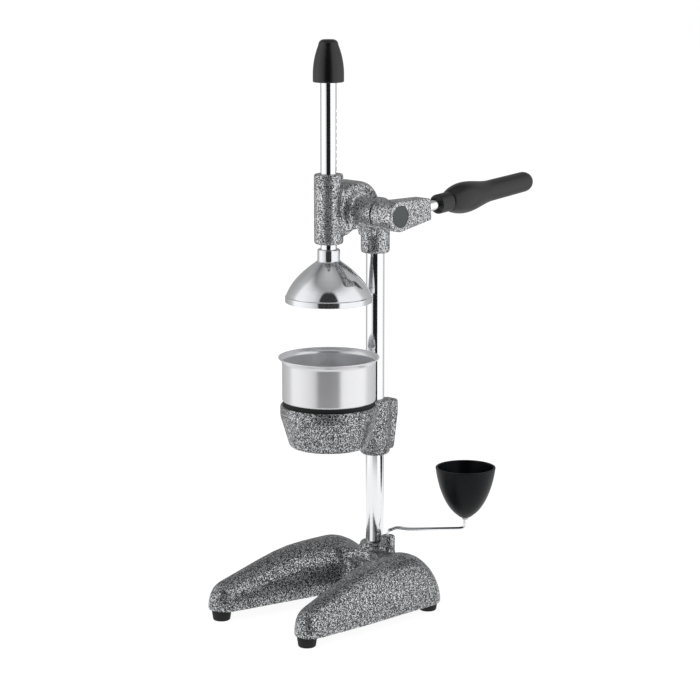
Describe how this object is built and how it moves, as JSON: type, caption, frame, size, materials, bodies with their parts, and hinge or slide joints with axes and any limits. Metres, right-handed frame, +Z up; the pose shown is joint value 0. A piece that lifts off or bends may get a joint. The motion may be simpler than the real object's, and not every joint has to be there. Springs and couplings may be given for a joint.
{
  "type": "lever citrus juice press",
  "caption": "Hand press for citrus: a back-set lever turns a toothed sector that drives a rack and bell down onto a ribbed cone in a steel cup, over a two-legged base with a swinging drip cup.",
  "frame": {"origin": "on the worktop under the rack's axis, where the glass stands", "axes": "+Z up along the rack's axis, -Y towards the open front between the legs, +X towards the lever's side"},
  "size_m": [0.2146, 0.3922, 0.6805],
  "materials": {
    "hammertone_enamel": "silver and black hammered enamel",
    "black_rubber": "matt",
    "bright_steel": "bright",
    "chrome_plate": "mirror",
    "black_oxide": "oiled black",
    "bronze": "turned",
    "cast_iron": "machined",
    "stainless": "polished",
    "cast_aluminium": "polished",
    "black_gloss": "glossy",
    "grey_disc": "matt"
  },
  "bodies": {
    "stand": {"base_casting": "hammertone_enamel", "foot_front_right": "black_rubber", "foot_front_left": "black_rubber", "foot_rear_right": "black_rubber", "foot_rear_left": "black_rubber", "foot_screw_front_right": "bright_steel", "foot_screw_front_left": "bright_steel", "foot_screw_rear_right": "bright_steel", "foot_screw_rear_left": "bright_steel", "post": "chrome_plate", "post_bolt": "bright_steel", "post_washer": "bright_steel", "head_casting": "hammertone_enamel", "head_screw_upper": "black_oxide", "head_screw_lower": "black_oxide", "bush_lever_side": "bronze", "bush_far_side": "bronze", "bowl_holder": "hammertone_enamel", "holder_screw_upper": "black_oxide", "holder_screw_lower": "black_oxide", "rubber_ring": "black_rubber"},
    "ram": {"rack": "chrome_plate", "rack_cap": "black_gloss", "bell": "chrome_plate", "bell_washer": "bright_steel", "bell_screw": "bright_steel"},
    "lever": {"sector_gear": "cast_iron", "shaft": "bright_steel", "gear_key": "bright_steel", "shaft_collar": "bright_steel", "collar_screw": "black_oxide", "lever_arm": "hammertone_enamel", "hub_pin": "bright_steel", "hub_disc": "grey_disc", "lever_rod": "bright_steel", "grip": "black_gloss"},
    "cup_body": {"cup": "stainless"},
    "strainer_body": {"cone_strainer": "cast_aluminium"},
    "drip_body": {"drip_wire": "bright_steel", "drip_cup": "black_gloss", "drip_nut_lower": "bright_steel", "drip_nut_upper": "bright_steel"}
  },
  "joints": [
    {"name": "lever_swing", "type": "hinge", "parent": "stand", "child": "lever", "pos_m": [0, 0.03425, 0.4814], "axis": [1, 0, 0], "range_deg": [0, 210]},
    {"name": "rack_slide", "type": "slide", "parent": "stand", "child": "ram", "axis": [0, 0, -1], "range_m": [0, 0.1008]},
    {"name": "cup_lift", "type": "slide", "parent": "stand", "child": "cup_body", "axis": [0, 0, 1], "range_m": [0, 0.007]},
    {"name": "cone_lift", "type": "slide", "parent": "cup_body", "child": "strainer_body", "axis": [0, 0, 1], "range_m": [0, 0.005]},
    {"name": "drip_swing", "type": "hinge", "parent": "stand", "child": "drip_body", "pos_m": [0.022, 0.077, 0.086], "axis": [0, 0, 1], "range_deg": [-154, 90]}
  ],
  "couplings": [
    {"joint": "rack_slide", "follows": "lever_swing", "m_per_rad": 0.0275}
  ]
}
